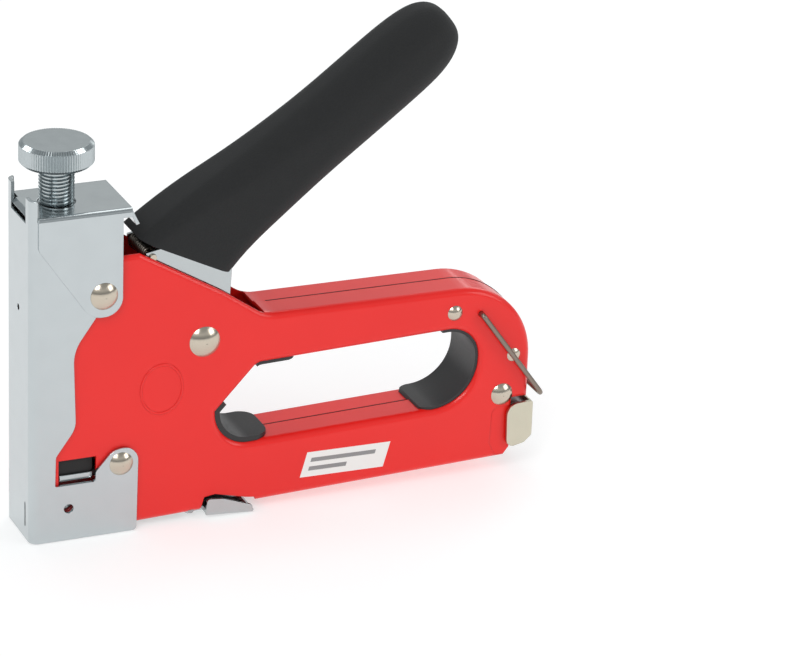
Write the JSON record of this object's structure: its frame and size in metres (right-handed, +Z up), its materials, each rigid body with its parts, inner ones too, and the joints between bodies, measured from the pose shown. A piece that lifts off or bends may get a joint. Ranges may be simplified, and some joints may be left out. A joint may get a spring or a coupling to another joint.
{
  "type": "staple gun",
  "caption": "Hand staple gun: pressed red body with finger opening, chrome nose and cap, spring striker with power screw, foam-covered squeeze handle, wire bail.",
  "frame": {"origin": "front lower edge of the nose foot, on the middle plane", "axes": "+X from the nose to the rear, +Y to the tool's left, +Z up; the nose foot's sole lies in Z = 0"},
  "size_m": [0.1886, 0.0322, 0.173],
  "materials": {
    "red_paint": "gloss red enamel",
    "bright_chrome": "bright nickel-chrome plate",
    "chrome_screw": "chrome plate, knurled rim",
    "lever_chrome": "chrome plate",
    "zinc_steel": "zinc-plated steel",
    "zinc_plate": "yellowish zinc plate",
    "dark_steel": "hardened steel, oiled",
    "spring_steel": "drawn spring wire",
    "bail_steel": "plain drawn wire",
    "nickel_rivets": "nickel-plated, domed",
    "black_plastic": "satin black moulding",
    "black_rubber": "firm black rubber",
    "black_foam": "matt black foam sleeve"
  },
  "bodies": {
    "frame": {"body_shell_right": "red_paint", "body_shell_left": "red_paint", "nose_housing": "bright_chrome", "top_cap": "bright_chrome", "adjuster_nut": "zinc_steel", "front_grip_insert": "black_plastic", "rear_grip_insert": "black_plastic", "top_grip_insert": "black_plastic", "cap_rivet": "nickel_rivets", "nose_rivet": "nickel_rivets", "pivot_rivet": "nickel_rivets", "frame_rivet": "nickel_rivets", "rear_rivet": "nickel_rivets", "bail_stop_rivet": "nickel_rivets", "spacers": "zinc_steel", "hammer_bumper": "black_rubber", "magazine_channel": "lever_chrome", "latch_pin": "zinc_steel", "nose_guide": "black_plastic"},
    "handle": {"lever_arm": "lever_chrome", "lever_bushing": "zinc_steel", "lifting_arm": "dark_steel", "foam_grip": "black_foam", "return_pin": "nickel_rivets", "return_spring": "spring_steel"},
    "striker": {"hammer": "dark_steel", "driver_blade": "dark_steel", "blade_rivets": "dark_steel"},
    "seat": {"spring_seat": "zinc_steel", "main_spring": "spring_steel"},
    "screw": {"power_screw": "chrome_screw"},
    "magazine": {"staple_rail": "zinc_steel", "rear_plate": "zinc_plate", "rail_end_block": "zinc_steel", "pusher_rod": "zinc_steel", "pusher_spring": "spring_steel"},
    "pusher": {"staple_pusher": "zinc_steel"},
    "bail": {"bail_wire": "bail_steel"},
    "latch": {"release_latch": "lever_chrome"}
  },
  "joints": [
    {"name": "handle_hinge", "type": "hinge", "parent": "frame", "child": "handle", "pos_m": [0.0618, 0, 0.0656], "axis": [0, 1, 0], "range_deg": [0, 35], "stiffness_Nm_per_rad": 3, "springref_deg": -11.46},
    {"name": "striker_slide", "type": "slide", "parent": "frame", "child": "striker", "axis": [0, 0, 1], "range_m": [0, 0.0273], "deforming": ["main_spring"]},
    {"name": "screw_travel", "type": "slide", "parent": "frame", "child": "seat", "axis": [0, 0, 1], "range_m": [-0.0075, 0]},
    {"name": "screw_turn", "type": "hinge", "parent": "seat", "child": "screw", "pos_m": [0.0132, 0, 0.12], "axis": [0, 0, 1], "range_deg": [-2160.6, 0]},
    {"name": "magazine_slide", "type": "slide", "parent": "frame", "child": "magazine", "axis": [0.9995, 0, 0.0314], "range_m": [0, 0.09]},
    {"name": "pusher_slide", "type": "slide", "parent": "magazine", "child": "pusher", "axis": [0.9995, 0, 0.0314], "range_m": [0, 0.11], "stiffness_N_per_m": 20, "springref_m": -0.1, "deforming": ["pusher_spring"]},
    {"name": "bail_hinge", "type": "hinge", "parent": "frame", "child": "bail", "pos_m": [0.1636, 0, 0.062], "axis": [0, 1, 0], "range_deg": [-80, 0]},
    {"name": "latch_hinge", "type": "hinge", "parent": "frame", "child": "latch", "pos_m": [0.058, 0, 0.003], "axis": [0, 1, 0], "range_deg": [-3, 0], "stiffness_Nm_per_rad": 0.2, "springref_deg": 8.59}
  ],
  "couplings": [
    {"joint": "striker_slide", "follows": "handle_hinge", "m_per_rad": 0.044667},
    {"joint": "screw_turn", "follows": "screw_travel", "rad_per_m": 5026.5}
  ]
}
